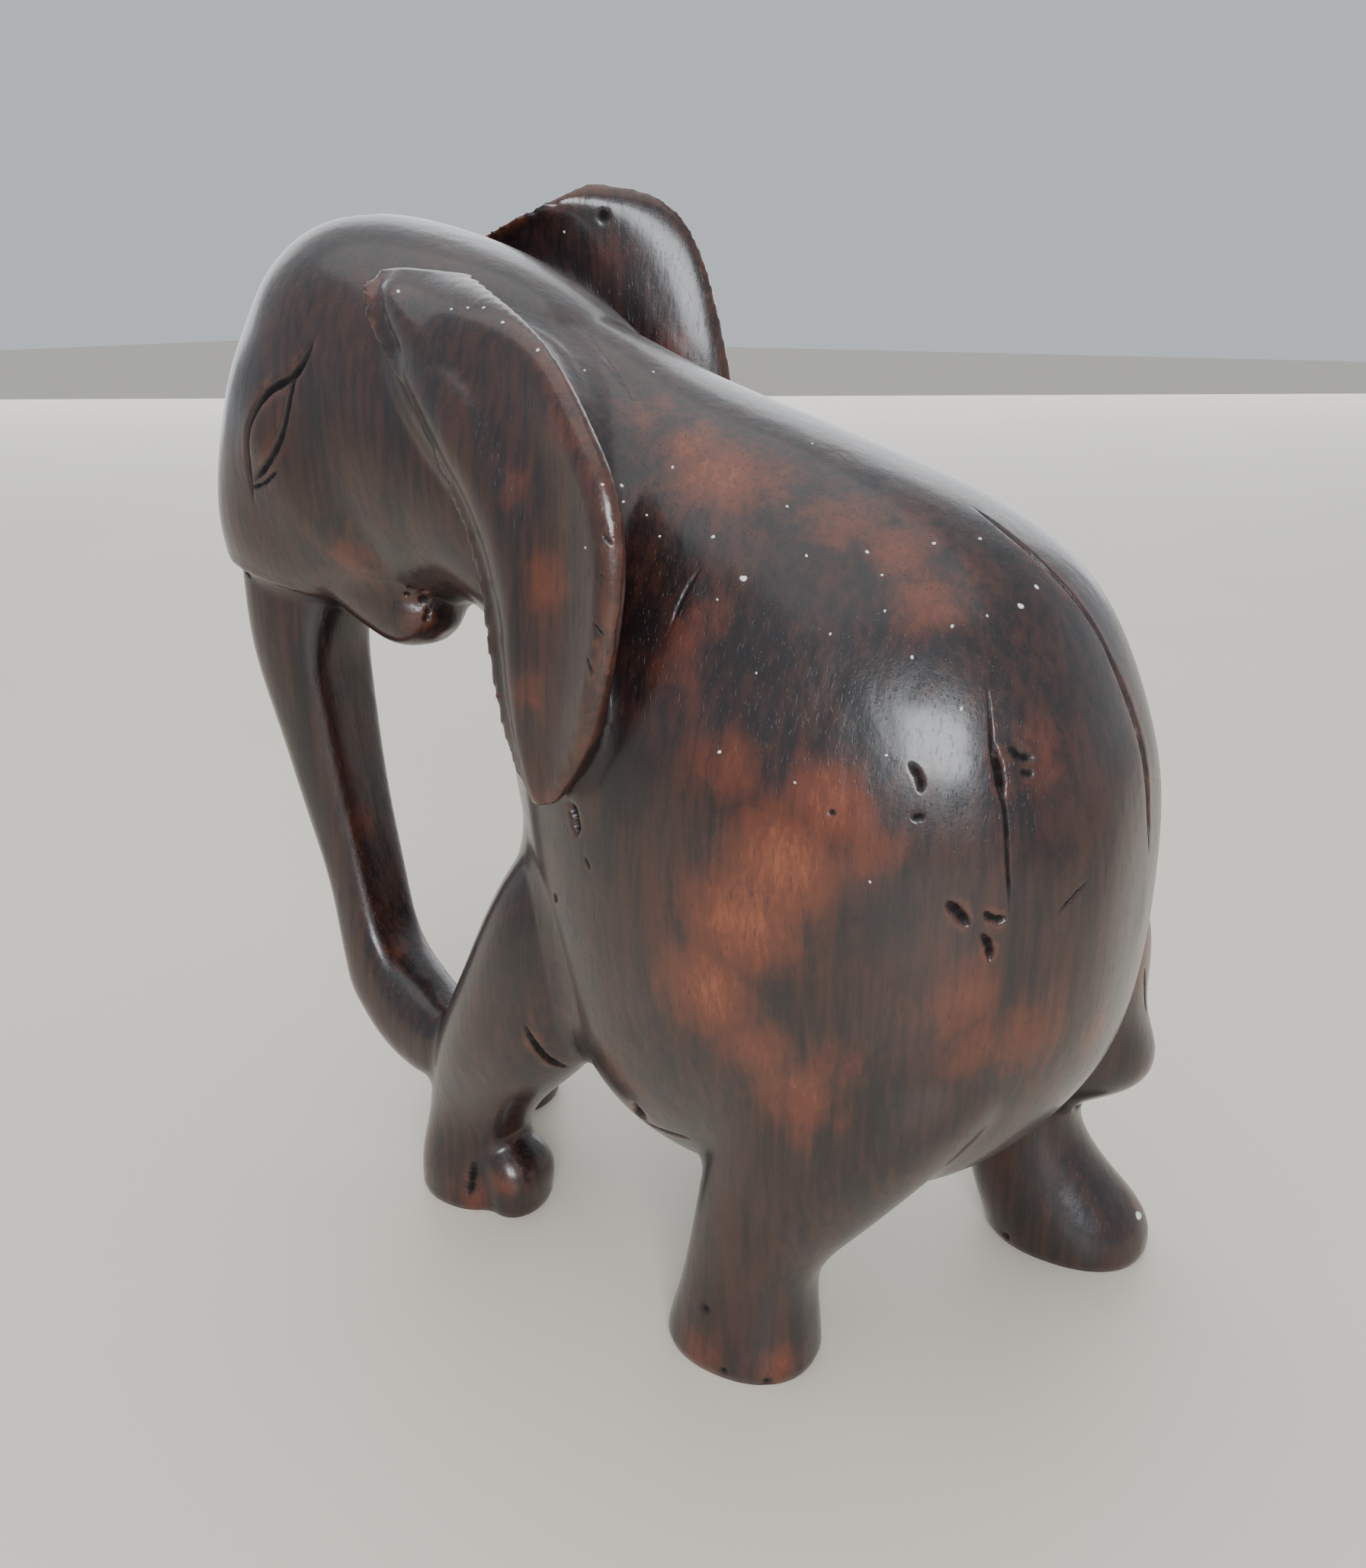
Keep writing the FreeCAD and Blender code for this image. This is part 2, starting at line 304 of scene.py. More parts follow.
def remeshed(parts, voxel):
    """The union of closed surfaces as quads: vertices and faces of a voxel remesh, in millimetres."""
    vertices, faces, start = [], [], 0
    for grid in parts:
        points, quads, fans = closed(grid)
        vertices.append(points)
        faces += (quads + start).tolist() + (fans + start).tolist()
        start += len(points)
    mesh = bpy.data.meshes.new("rough")
    mesh.from_pydata(np.vstack(vertices).tolist(), [], faces)
    rough = bpy.data.objects.new("rough", mesh)
    bpy.context.scene.collection.objects.link(rough)
    remesh = rough.modifiers.new("union", "REMESH")
    remesh.mode = "VOXEL"
    remesh.voxel_size = voxel
    remesh.adaptivity = 0
    result = rough.evaluated_get(bpy.context.evaluated_depsgraph_get()).to_mesh()
    points = np.empty(len(result.vertices) * 3)
    result.vertices.foreach_get("co", points)
    loops = np.empty(len(result.loops), dtype=np.int64)
    result.loops.foreach_get("vertex_index", loops)
    rough.to_mesh_clear()
    bpy.data.objects.remove(rough)
    bpy.data.meshes.remove(mesh)
    return points.reshape(-1, 3), loops.reshape(-1, 4)


class Block:
    """The carved block: vertices in millimetres, polygons, and the sums that smoothing needs."""

    def __init__(self, vertices, loops, sizes):
        self.v = vertices
        self.loops = loops
        self.sizes = sizes
        self.ends = np.cumsum(sizes)
        self.starts = self.ends - sizes
        following = np.arange(len(loops)) + 1
        following[self.ends - 1] = self.starts
        pairs = np.sort(np.stack([loops, loops[following]], -1), axis=1)
        self.edges = np.unique(pairs, axis=0)
        self.following = following
        self.degree = np.maximum(np.bincount(self.edges.ravel(), minlength=len(vertices)), 1)

    def gather(self, values):
        """Mean of a value over each vertex's neighbours."""
        a, b = self.edges.T
        values = values if values.ndim == 2 else values[:, None]
        out = np.empty_like(values)
        for k in range(values.shape[1]):
            out[:, k] = (np.bincount(a, values[b, k], len(self.v))
                         + np.bincount(b, values[a, k], len(self.v))) / self.degree
        return out

    def normals(self):
        """Unit vertex normals, weighted by face area."""
        p = self.v[self.loops]
        q = self.v[self.loops[self.following]]
        cross = np.cross(p, q)
        face = np.add.reduceat(cross, self.starts)
        spread = np.repeat(face, self.sizes, axis=0)
        out = np.stack([np.bincount(self.loops, spread[:, k], len(self.v)) for k in range(3)], -1)
        return out / (np.linalg.norm(out, axis=1, keepdims=True) + 1e-12)

    def smooth(self, rounds, keep=None):
        """Taubin smoothing: a shrinking step, then a growing one, so that volume is kept."""
        weight = 1.0 if keep is None else keep[:, None]
        for _ in range(rounds):
            for step in (0.5, -0.53):
                self.v = self.v + weight * step * (self.gather(self.v) - self.v)

    def fill_hollows(self, weight, spread, spacing, rise=1.0):
        """Work sharp joins into soft hollows.

        A copy is smoothed until each vertex has spread over the given millimetres, times the root of
        its weight.  Where the copy lies outside the block, the block moves to it, and nowhere else, so
        edges and bulges keep their shape.
        """
        soft = self.v.copy()
        for _ in range(int(round(4 * (spread / spacing) ** 2))):
            soft += 0.5 * weight[:, None] * (self.gather(soft) - soft)
        lift = ((soft - self.v) * self.normals()).sum(1)
        self.v = self.v + ramp(lift, 0, rise)[:, None] * (soft - self.v)


# How far each join is spread into a hollow: centre, radius of the place, millimetres of spread
PLAIN_SPREAD = 4.0
WIDEST_SPREAD = 12.0
JOINS = [
    ((112, 0, 245), 70, 11.0),      # neck
    ((98, 46, 272), 42, 12.0),      # top of the left ear into the neck
    ((106, 44, 112), 42, 10.0),     # left front shoulder
    ((128, 22, 12), 24, 3.5),       # left front heel
    ((108, -42, 112), 45, 10.0),    # right front shoulder
    ((4, 52, 98), 50, 10.0),        # left hip
    ((-14, -46, 120), 45, 10.0),    # right hip
    ((196, 8, 178), 26, 6.0),       # root of the trunk
    ((225, 10, 196), 26, 2.0),      # lip
    ((160, 8, 190), 24, 2.5),       # chin
    ((60, 70, 215), 34, 2.0),       # left ear's rear edge
    ((66, 68, 180), 30, 2.0),       # left ear's tip
    ((110, -62, 240), 60, 2.5),     # right ear
]


def join_weights(points):
    """The share of the widest smoothing that each place gets."""
    spread = np.full(len(points), PLAIN_SPREAD)
    for centre, radius, value in JOINS:
        near = np.linalg.norm(points - centre, axis=1)
        spread = spread + (value - spread) * (1 - ramp(near, radius * 0.45, radius))
    return (spread / WIDEST_SPREAD) ** 2


SOLE_EASE = 2.5                     # height over which the edge of each sole is eased


def flat_soled(block):
    """The block cut off at the floor, with the edge of every sole eased; the soles are left open."""
    normal = block.normals()
    low = np.clip(1 - block.v[:, 2] / SOLE_EASE, 0, 1) ** 2 * (block.v[:, 2] < SOLE_EASE)
    block.v[:, :2] -= normal[:, :2] * np.minimum(low, 1)[:, None]
    mesh = block_mesh(block)
    bm = bmesh.new()
    bm.from_mesh(mesh)
    everything = bm.verts[:] + bm.edges[:] + bm.faces[:]
    bmesh.ops.bisect_plane(bm, geom=everything, dist=0.01, plane_co=(0, 0, 0), plane_no=(0, 0, -1),
                           clear_outer=True)
    bm.to_mesh(mesh)
    bm.free()
    result = Block(*arrays_of(mesh))
    bpy.data.meshes.remove(mesh)
    result.v[:, 2] = np.maximum(result.v[:, 2], 0)
    return result


def carved_block(voxel):
    """Every region joined, smoothed and blended: the block, and each region's surfaces."""
    regions = forms()
    grids = [grid for parts in regions.values() for grid in parts]
    vertices, quads = remeshed(grids, voxel)
    block = Block(vertices, quads.ravel(), np.full(len(quads), 4))
    block.smooth(18)
    for _ in range(2):
        block.fill_hollows(join_weights(block.v), WIDEST_SPREAD, voxel)
    block.smooth(8)
    return flat_soled(block), regions


def region_numbers(points, regions):
    """The number of the region whose surface is nearest to each point."""
    samples, owner = [], []
    for number, parts in enumerate(regions.values()):
        for grid in parts:
            thin = grid[::2, ::3].reshape(-1, 3)
            samples.append(thin)
            owner += [number] * len(thin)
    samples = np.vstack(samples)
    tree = kdtree.KDTree(len(samples))
    for k, point in enumerate(samples):
        tree.insert(point, k)
    tree.balance()
    return np.array([owner[tree.find(point)[1]] for point in points])


# ------------------------------------------------------------------ carved details

def arrays_of(mesh):
    """Vertices, loop vertex numbers and polygon sizes of a mesh."""
    points = np.empty(len(mesh.vertices) * 3)
    mesh.vertices.foreach_get("co", points)
    loops = np.empty(len(mesh.loops), dtype=np.int64)
    mesh.loops.foreach_get("vertex_index", loops)
    sizes = np.empty(len(mesh.polygons), dtype=np.int64)
    mesh.polygons.foreach_get("loop_total", sizes)
    used, loops = np.unique(loops, return_inverse=True)
    return points.reshape(-1, 3)[used], loops, sizes


def block_mesh(block, name="block"):
    """A mesh of the block, in its own millimetres."""
    mesh = bpy.data.meshes.new(name)
    mesh.vertices.add(len(block.v))
    mesh.vertices.foreach_set("co", block.v.ravel())
    mesh.loops.add(len(block.loops))
    mesh.loops.foreach_set("vertex_index", block.loops)
    mesh.polygons.add(len(block.sizes))
    mesh.polygons.foreach_set("loop_start", block.starts)
    mesh.update(calc_edges=True)
    return mesh


def refined(block, chosen):
    """The block with every edge between chosen vertices cut in two."""
    mesh = block_mesh(block)
    bm = bmesh.new()
    bm.from_mesh(mesh)
    edges = [e for e in bm.edges if chosen[e.verts[0].index] and chosen[e.verts[1].index]]
    bmesh.ops.subdivide_edges(bm, edges=edges, cuts=1, use_grid_fill=True)
    bm.to_mesh(mesh)
    bm.free()
    result = Block(*arrays_of(mesh))
    bpy.data.meshes.remove(mesh)
    return result


def path_distance(points, path):
    """Distance from each point to a polyline, and how far along it, from 0 to 1."""
    path = np.asarray(path, float)
    lengths = np.linalg.norm(np.diff(path, axis=0), axis=1)
    before = np.concatenate([[0], np.cumsum(lengths)])
    best = np.full(len(points), 1e9)
    share = np.zeros(len(points))
    for k, (a, b) in enumerate(zip(path[:-1], path[1:])):
        along = np.clip(((points - a) @ (b - a)) / (lengths[k] ** 2 + 1e-9), 0, 1)
        away = np.linalg.norm(points - a - along[:, None] * (b - a), axis=1)
        nearer = away < best
        best[nearer] = away[nearer]
        share[nearer] = ((before[k] + along * lengths[k]) / before[-1])[nearer]
    return best, share


def curve_through(points, count=60):
    """A smooth path through given points."""
    points = np.asarray(points, float)
    knots = np.concatenate([[0], np.cumsum(np.linalg.norm(np.diff(points, axis=0), axis=1))])
    return spline(knots, points, np.linspace(0, knots[-1], count))


def on_skin(block_tree, points):
    """The nearest places on the block's skin."""
    return np.array([block_tree.find_nearest(Vector(p))[0] for p in points])


# Each cut: points forward, left, up; half width; depth; how it tapers at its ends
CUTS = {
    "left_eye_crease": ([(165, 40, 270), (175, 42, 258), (184, 42, 254), (190, 42, 247),
                         (194, 42, 238), (196, 42, 222)], 1.0, 2.0, 0.22),
    "left_eye_rim": ([(172, 42, 261), (176, 43, 252), (179, 44, 243), (184, 44, 236), (194, 42, 229)],
                     0.8, 1.1, 0.15),
    "left_eye_lid": ([(197, 41, 227), (189, 43, 229), (181, 44, 234)], 0.6, 0.7, 0.25),
    "right_eye_crease": ([(167, -40, 270), (177, -40, 258), (186, -40, 253), (192, -40, 246),
                          (196, -39, 237), (198, -38, 222)], 1.0, 2.0, 0.22),
    "right_eye_rim": ([(174, -41, 261), (178, -41, 251), (181, -42, 242), (186, -41, 235),
                       (196, -39, 229)], 0.8, 1.1, 0.15),
    "crown_check": ([(192, 14, 299), (182, 10, 301), (171, 4, 301)], 0.4, 0.6, 0.3),
    "rump_check": ([(-3, 7, 233), (-22, 10, 222), (-35, 6, 207), (-42, 3, 192), (-47, 2, 179),
                    (-50, 3, 166), (-52, -1, 150)], 0.6, 1.6, 0.15),
    "rump_check_open": ([(-36, 6, 205), (-42, 3, 192), (-47, 2, 179), (-50, 2, 166), (-51, 0, 155)],
                        1.1, 3.0, 0.3),
    "flank_check": ([(-22, 43, 202), (-24, 46, 192), (-26, 48, 184), (-29, 49, 177), (-31, 50, 167),
                     (-33, 50, 150)], 0.35, 0.8, 0.25),
    "flank_gash": ([(-25, 47, 190), (-27, 48, 184), (-29, 49, 175)], 0.75, 2.0, 0.45),
    "knot_gouge": ([(-20, 57, 155), (-23, 57, 153), (-26, 56, 149)], 0.9, 1.5, 0.3),
    "knot_tear": ([(-28, 54, 153), (-30, 53, 151), (-33, 51, 151)], 0.7, 1.1, 0.3),
    "knot_drip": ([(-28, 55, 148), (-30, 54, 145), (-30, 53, 140)], 0.8, 1.4, 0.35),
    "flank_scar_high": ([(-28, 45, 189), (-31, 44, 186), (-34, 42, 186)], 1.0, 0.9, 0.3),
    "flank_scar_low": ([(-31, 45, 183), (-34, 43, 182)], 0.8, 0.8, 0.3),
    "flank_nick": ([(-10, 57, 185), (-13, 57, 181), (-13, 57, 178)], 0.7, 0.8, 0.3),
    "belly_nick": ([(-12, 59, 173), (-15, 58, 174)], 0.7, 0.7, 0.3),
    "hip_scratch": ([(-40, 42, 150), (-43, 39, 153), (-46, 34, 157)], 0.35, 0.4, 0.35),
    "saddle_scratch": ([(44, 48, 222), (48, 50, 212), (50, 54, 203)], 0.3, 0.35, 0.4),
    "chest_nick": ([(84, 56, 132), (85, 56, 129)], 0.7, 0.8, 0.3),
    "chest_scratch": ([(70, 62, 148), (68, 63, 145)], 0.35, 0.5, 0.3),
    "thigh_check": ([(-45, -34, 106), (-48, -38, 97), (-50, -43, 86)], 0.5, 1.2, 0.3),
    "hock_tear": ([(-34, -40, 52), (-33, -46, 50), (-33, -52, 51)], 1.4, 1.2, 0.35),
    "belly_chip": ([(72, 42, 57), (67, 46, 64), (66, 48, 70)], 1.5, 3.2, 0.3),
    "belly_check": ([(70, 40, 56), (60, 44, 60), (48, 48, 64)], 0.7, 1.6, 0.25),
    "shoulder_crease": ([(101, 50, 88), (99, 47, 77), (96, 42, 68), (92, 36, 61)], 0.8, 1.3, 0.35),
    "ear_tip_notch": ([(77, 66, 160), (74, 63, 157), (73, 62, 152)], 1.1, 2.8, 0.25),
    "ear_ridge_crack_a": ([(57, 74, 231), (54, 73, 228)], 0.3, 0.4, 0.3),
    "ear_ridge_crack_b": ([(58, 75, 222), (56, 74, 221)], 0.3, 0.3, 0.3),
    "ear_ridge_crack_c": ([(60, 75, 211), (56, 74, 208)], 0.3, 0.5, 0.3),
    "ear_ridge_crack_d": ([(62, 74, 203), (59, 74, 199)], 0.3, 0.3, 0.3),
    "heel_valley": ([(136, 39, 3), (134, 38, 12), (134, 36, 20)], 1.6, 1.2, 0.35),
    "lip_nick": ([(222, 24, 199), (216, 29, 196)], 0.5, 0.6, 0.4),
}
# Pits of worm-eaten or torn grain: centre, half width, depth
PITS = [
    ((150, 24, 196), 1.0, 1.6), ((148, 25, 200), 0.8, 1.4), ((152, 25, 202), 0.9, 1.2),
    ((147, 24, 193), 0.7, 1.0), ((151, 22, 191), 0.8, 1.0), ((154, 26, 198), 0.7, 1.0),
    ((-17, -52, 4), 1.3, 0.9), ((-20, -38, 4), 1.2, 0.8), ((-12, -47, 30), 1.6, 0.7),
    ((128, -40, 300), 1.4, 1.0), ((152, -38, 305), 1.6, 1.3), ((31, 60, 3), 1.2, 0.6),
    ((20, 56, 2), 1.3, 0.6), ((38, 61, 20), 1.5, 0.4), ((5, 60, 172), 0.6, 0.6),
]
# Broad swells and hollows: centre, radius, height
SWELLS = [
    ((188, 43, 242), 8.5, 1.5),         # left eyeball
    ((190, -40, 241), 8.5, 1.5),        # right eyeball
    ((201, 30, 270), 10, -0.9),         # left brow
    ((202, -26, 270), 10, -0.9),        # right brow
    ((118, 60, 236), 9, 0.5),
    ((44, 60, 200), 16, -1.0),          # behind the left ear
    ((-8, 60, 120), 18, 0.6),
    ((190, 24, 62), 7, 1.0),            # curl of the trunk
    ((36, 62, 30), 12, -0.6),
    ((10, 57, 40), 9, -0.5),
]


def carve(block):
    """Cut every line and pit into the block, with finer faces round each, and say where they are."""
    tree = tree_of(block)
    for centre, radius, height in SWELLS:
        middle = np.array(tree.find_nearest(Vector(centre))[0])
        away = np.linalg.norm(block.v - middle, axis=1)
        block.v = block.v + (height * np.exp(-(away / radius) ** 2))[:, None] * block.normals()
    tree = tree_of(block)
    paths = {name: on_skin(tree, curve_through(cut[0])) for name, cut in CUTS.items()}
    pits = on_skin(tree, [pit[0] for pit in PITS])
    marks = kdtree.KDTree(sum(len(path) for path in paths.values()) + len(pits))
    for k, point in enumerate(np.vstack(list(paths.values()) + [pits])):
        marks.insert(point, k)
    marks.balance()
    for reach in (4.0, 2.4):
        block = refined(block, np.array([marks.find(point)[2] for point in block.v]) < reach)
    normal = block.normals()
    close = np.flatnonzero(np.array([marks.find(point)[2] for point in block.v]) < 5.0)
    sunk = np.zeros(len(block.v))
    depth = np.zeros(len(block.v))
    for name, path in paths.items():
        _, half, deep, taper = CUTS[name]
        away, share = path_distance(block.v[close], path)
        ends = ramp(share, 0, taper) * (1 - ramp(share, 1 - taper, 1))
        wander = 1 + 0.35 * np.sin(41 * share + len(name)) * np.sin(17 * share)
        notch = ends * np.exp(-(away / (half * (0.55 + 0.45 * ends))) ** 2)
        sunk[close] = np.maximum(sunk[close], notch)
        depth[close] = np.maximum(depth[close], deep * wander * notch)
    for middle, (_, half, deep) in zip(pits, PITS):
        away = np.linalg.norm(block.v - middle, axis=1)
        notch = np.exp(-(away / half) ** 2)
        sunk = np.maximum(sunk, notch)
        depth = np.maximum(depth, deep * notch)
    block.v = block.v - depth[:, None] * normal
    return block, sunk


def tree_of(block):
    """A search tree over the block's faces."""
    polygons = [block.loops[a:b].tolist() for a, b in zip(block.starts, block.ends)]
    return BVHTree.FromPolygons(block.v.tolist(), polygons)


# ------------------------------------------------------------------ stain, wear and painted shade

# Red stain where it shows through the polish: centre, radius, strength
RUST = [
    ((50, 34, 240), 13, 0.9), ((59, 30, 246), 10, 0.8), ((40, 30, 238), 12, 0.6),
    ((16, 67, 159), 17, 1.0), ((25, 68, 143), 17, 1.0), ((33, 67, 122), 15, 0.95),
    ((5, 63, 175), 13, 0.9), ((-4, 60, 165), 10, 0.6), ((21, 65, 109), 14, 0.75),
    ((12, 62, 98), 15, 0.75), ((2, 60, 108), 12, 0.55), ((-5, 39, 217), 14, 0.65),
    ((3, 34, 226), 13, 0.6), ((17, 33, 231), 12, 0.6), ((-35, 47, 119), 16, 0.6),
    ((-27, 55, 131), 13, 0.55), ((-33, 40, 185), 11, 0.5), ((44, 56, 208), 9, 0.6),
    ((46, 60, 196), 8, 0.5), ((29, 65, 179), 12, 0.7), ((75, 26, 252), 11, 0.45),
    ((75, 69, 250), 8, 0.6), ((87, 64, 237), 8, 0.5), ((77, 65, 216), 9, 0.5),
    ((84, 66, 190), 8, 0.45), ((136, 37, 6), 10, 0.6), ((125, 34, 14), 8, 0.6),
    ((40, 60, 5), 9, 0.6), ((16, 53, 6), 9, 0.7), ((-47, 20, 113), 12, 0.5),
    ((-46, -58, 14), 10, 0.6), ((131, -48, 288), 14, 0.5), ((112, -53, 262), 14, 0.6),
    ((173, 23, 78), 9, 0.5), ((185, 17, 118), 9, 0.45), ((165, 34, 212), 14, 0.5),
    ((150, 26, 190), 12, 0.4), ((-48, -30, 110), 16, 0.6), ((92, 44, 90), 14, 0.45),
    ((70, 50, 80), 14, 0.45), ((110, 34, 70), 12, 0.45), ((18, -64, 165), 22, 0.8),
    ((40, -60, 200), 18, 0.6), ((10, -66, 120), 20, 0.7), ((-30, -45, 180), 16, 0.6),
    ((75, -50, 150), 16, 0.5), ((60, -30, 240), 14, 0.6), ((215, 10, 240), 12, 0.35),
    ((20, 0, 42), 26, 0.5), ((150, -30, 60), 14, 0.5), ((205, 5, 150), 9, 0.4),
]
# Black stain, partly painted shade where the spots sit in the undercut behind and under the left ear, on the
# cheek, under the lip and in the trunk's curl: centre, radius, strength
BLACK_STAIN_AND_SHADE = [
    ((57, 58, 207), 10, 0.9), ((59, 64, 173), 15, 1.0), ((49, 61, 193), 10, 0.7),
    ((-6, 62, 148), 14, 0.8), ((-16, 60, 136), 11, 0.6), ((23, 50, 216), 10, 0.8),
    ((14, 48, 214), 8, 0.6), ((-40, 42, 163), 9, 0.8), ((-36, 45, 150), 8, 0.6),
    ((2, 56, 196), 9, 0.7), ((8, 60, 186), 8, 0.6), ((25, 62, 192), 10, 0.7),
    ((-32, 43, 186), 6, 0.9), ((-36, 38, 176), 7, 0.6), ((70, 66, 150), 16, 0.8),
    ((90, 58, 120), 18, 0.5), ((200, 30, 250), 26, 0.8), ((205, 14, 190), 14, 0.7),
    ((181, 18, 60), 14, 0.6), ((140, 20, 30), 15, 0.5), ((32, 42, 26), 16, 0.6),
    ((-22, -50, 36), 18, 0.6), ((30, -62, 185), 14, 0.8), ((-10, -64, 150), 16, 0.8),
    ((80, -52, 190), 22, 0.8), ((160, 20, 290), 26, 0.6), ((100, 60, 262), 12, 0.4),
    ((-12, 52, 90), 12, 0.5), ((30, 64, 92), 10, 0.4),
]


def spotted(points, spots):
    """How strongly the nearest spots reach each point: the highest of their bell curves."""
    out = np.zeros(len(points))
    for centre, radius, strength in spots:
        away = np.linalg.norm(points - centre, axis=1)
        out = np.maximum(out, strength * np.exp(-(away / radius) ** 2))
    return out


def bending(block, rounds):
    """The skin's curvature per millimetre, evened out: above 0 in hollows, below 0 on ridges."""
    a, b = block.edges.T
    square = ((block.v[a] - block.v[b]) ** 2).sum(1)
    spacing = (np.bincount(a, square, len(block.v)) + np.bincount(b, square, len(block.v))) / block.degree
    bend = 4 * ((block.gather(block.v) - block.v) * block.normals()).sum(1) / (spacing + 1e-6)
    for _ in range(rounds):
        bend = block.gather(bend)[:, 0]
    return bend


# ------------------------------------------------------------------ pieces

WORK = {}


def carving():
    """The finished block with everything the pieces are cut from, worked out once."""
    if not WORK:
        wood = bpy.context.scene.elephant_wood
        fineness = wood.fineness / MM
        block, regions = carved_block(fineness)
        block, sunk = carve(block)
        block.v = fitted(block.v)
        near = bending(block, 3)
        wide = bending(block, 14)
        WORK["block"] = block
        WORK["normal"] = block.normals()
        WORK["number"] = joined_up(block, region_numbers(face_centres(block), regions), len(regions))
        WORK["names"] = list(regions)
        WORK["tones"] = {
            "rust": spotted(block.v, RUST),
            # black stain and painted shade, carried as one tone
            "black_stain_and_shade": spotted(block.v, BLACK_STAIN_AND_SHADE),
            "worn": ramp(-wide, 0.07, 0.30) * (1 - sunk),
            "grime": np.clip(ramp(wide, 0.03, 0.22) + 0.5 * ramp(near, 0.1, 0.5), 0, 1),
            "cut": sunk,
        }
    return WORK


def fitted(points):
    """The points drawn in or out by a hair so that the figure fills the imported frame's box."""
    low, high = (unplace(np.array([corner]))[0] for corner in CAD_BOX)
    low[0], high[0] = high[0], low[0]
    low += BOX_MARGIN
    high -= BOX_MARGIN
    low[2] = 0.0
    least, most = points.min(0), points.max(0)
    return low + (points - least) * (high - low) / (most - least)


def face_centres(block):
    """The mean of each face's corners."""
    return np.add.reduceat(block.v[block.loops], block.starts) / block.sizes[:, None]


def joined_up(block, number, count):
    """Region numbers with every stray island given to the region round it."""
    owner = np.repeat(np.arange(len(block.sizes)), block.sizes)
    ends = np.sort(np.stack([block.loops, block.loops[block.following]], -1), axis=1)
    key = ends[:, 0] * len(block.v) + ends[:, 1]
    order = np.argsort(key, kind="stable")
    same = key[order][1:] == key[order][:-1]
    left, right = owner[order][:-1][same], owner[order][1:][same]
    number = number.copy()
    for _ in range(3):
        group = np.arange(len(number))
        like = number[left] == number[right]
        a, b = left[like], right[like]
        for _ in range(200):
            before = group.copy()
            least = np.minimum(group[a], group[b])
            np.minimum.at(group, a, least)
            np.minimum.at(group, b, least)
            group = group[group]
            if (group == before).all():
                break
        stray = np.ones(len(number), bool)
        for which in range(count):
            groups, sizes = np.unique(group[number == which], return_counts=True)
            if len(groups) == 0:
                raise RuntimeError(f"region {which} has no faces")
            stray &= group != groups[np.argmax(sizes)]
        if not stray.any():
            break
        number[stray] = -1
        for _ in range(200):
            for here, there in ((left, right), (right, left)):
                take = (number[here] < 0) & (number[there] >= 0)
                number[here[take]] = number[there[take]]
    return number


def piece_of(name, node):
    """The named region as an object in the frame's metres, closed by fans inside the wood."""
    work = carving()
    block, normal = work["block"], work["normal"]
    faces = np.flatnonzero(work["number"] == work["names"].index(node))
    take = np.isin(np.repeat(np.arange(len(block.sizes)), block.sizes), faces)
    used, local = np.unique(block.loops[take], return_inverse=True)
    sizes = block.sizes[faces]
    starts = np.cumsum(sizes) - sizes
    polygons = [local[s:s + n].tolist() for s, n in zip(starts, sizes)]
    skin = len(polygons)
    points, caps = capped(block.v[used], polygons, normal[used])
    mesh = bpy.data.meshes.new(name)
    mesh.from_pydata(place(points).tolist(), [], polygons + caps)
    mesh.polygons.foreach_set("use_smooth", np.ones(len(mesh.polygons), bool))
    mesh.update()
    for tone, values in work["tones"].items():
        attribute = mesh.attributes.new(tone, "FLOAT", "POINT")
        padded = np.zeros(len(points), dtype=np.float32)
        padded[:len(used)] = values[used]
        attribute.data.foreach_set("value", padded)
    turned = np.stack([normal[:, 1], -normal[:, 0], normal[:, 2]], -1)[used]
    split = np.empty((len(mesh.loops), 3))
    split[:len(local)] = turned[local]
    split[len(local):] = np.repeat(mesh_normals(mesh)[skin:], 3, axis=0)
    mesh.normals_split_custom_set(split.tolist())
    piece = bpy.data.objects.new(name, mesh)
    bpy.context.scene.collection.objects.link(piece)
    mesh.materials.append(wood_material())
    return piece


def mesh_normals(mesh):
    """Polygon normals of a mesh."""
    out = np.empty(len(mesh.polygons) * 3)
    mesh.polygons.foreach_get("normal", out)
    return out.reshape(-1, 3)


def capped(points, polygons, normal):
    """Fans that close every open rim, each round a point drawn a little into the wood."""
    seen = {}
    for polygon in polygons:
        for a, b in zip(polygon, polygon[1:] + polygon[:1]):
            if (b, a) in seen:
                del seen[(b, a)]
            else:
                seen[(a, b)] = True
    following = {}
    for a, b in seen:
        following.setdefault(b, []).append(a)
    caps, extra = [], []
    while following:
        start = next(iter(following))
        rim, here = [start], following[start].pop()
        if not following[start]:
            del following[start]
        while here != start:
            rim.append(here)
            nxt = following[here].pop()
            if not following[here]:
                del following[here]
            here = nxt
        rim = np.array(rim)
        inward = 0.0 if points[rim, 2].max() < 0.01 else 1.5
        hub = len(points) + len(extra)
        extra.append(points[rim].mean(0) - normal[rim].mean(0) * inward)
        caps += [[int(a), int(b), hub] for a, b in zip(rim, np.roll(rim, -1))]
    if extra:
        points = np.vstack([points, extra])
    return points, caps


